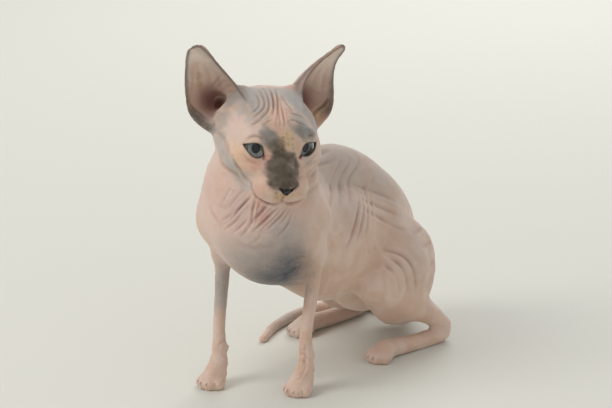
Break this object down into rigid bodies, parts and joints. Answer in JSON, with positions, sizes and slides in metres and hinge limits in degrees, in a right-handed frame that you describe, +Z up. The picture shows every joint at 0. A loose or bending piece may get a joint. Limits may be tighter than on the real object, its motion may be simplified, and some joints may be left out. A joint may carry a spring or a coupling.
{
  "type": "sphynx kitten",
  "caption": "Hairless kitten sitting upright with big ears and its head turned to its left, tail curled on the floor.",
  "frame": {"origin": "middle of the underside of the bounding box, on the floor", "axes": "+Z up, -Y the way the chest faces, +X the kitten's left"},
  "size_m": [0.1226, 0.2228, 0.2381],
  "materials": {
    "face_skin": "matte bare skin, peach and cream with grey patches",
    "trunk_skin": "matte bare skin, pinkish beige with grey patches",
    "limb_skin": "matte bare skin, pinkish beige",
    "ear_skin": "thin bare skin, grey outside and dark rose inside",
    "eye": "wet eye with pale grey green iris"
  },
  "bodies": {
    "root": {"tail_root": "limb_skin", "tail_middle": "limb_skin", "tail_tip": "limb_skin", "eye_right": "eye", "ear_right": "ear_skin", "eye_left": "eye", "ear_left": "ear_skin", "head": "face_skin", "neck": "limb_skin", "forepaw_left": "limb_skin", "upper_arm_left": "limb_skin", "forearm_left": "limb_skin", "forepaw_right": "limb_skin", "upper_arm_right": "limb_skin", "forearm_right": "limb_skin", "hind_foot_left": "limb_skin", "thigh_left": "limb_skin", "shank_left": "limb_skin", "hind_foot_right": "limb_skin", "thigh_right": "limb_skin", "shank_right": "limb_skin", "chest": "trunk_skin", "belly": "trunk_skin", "hips": "trunk_skin"}
  },
  "joints": []
}
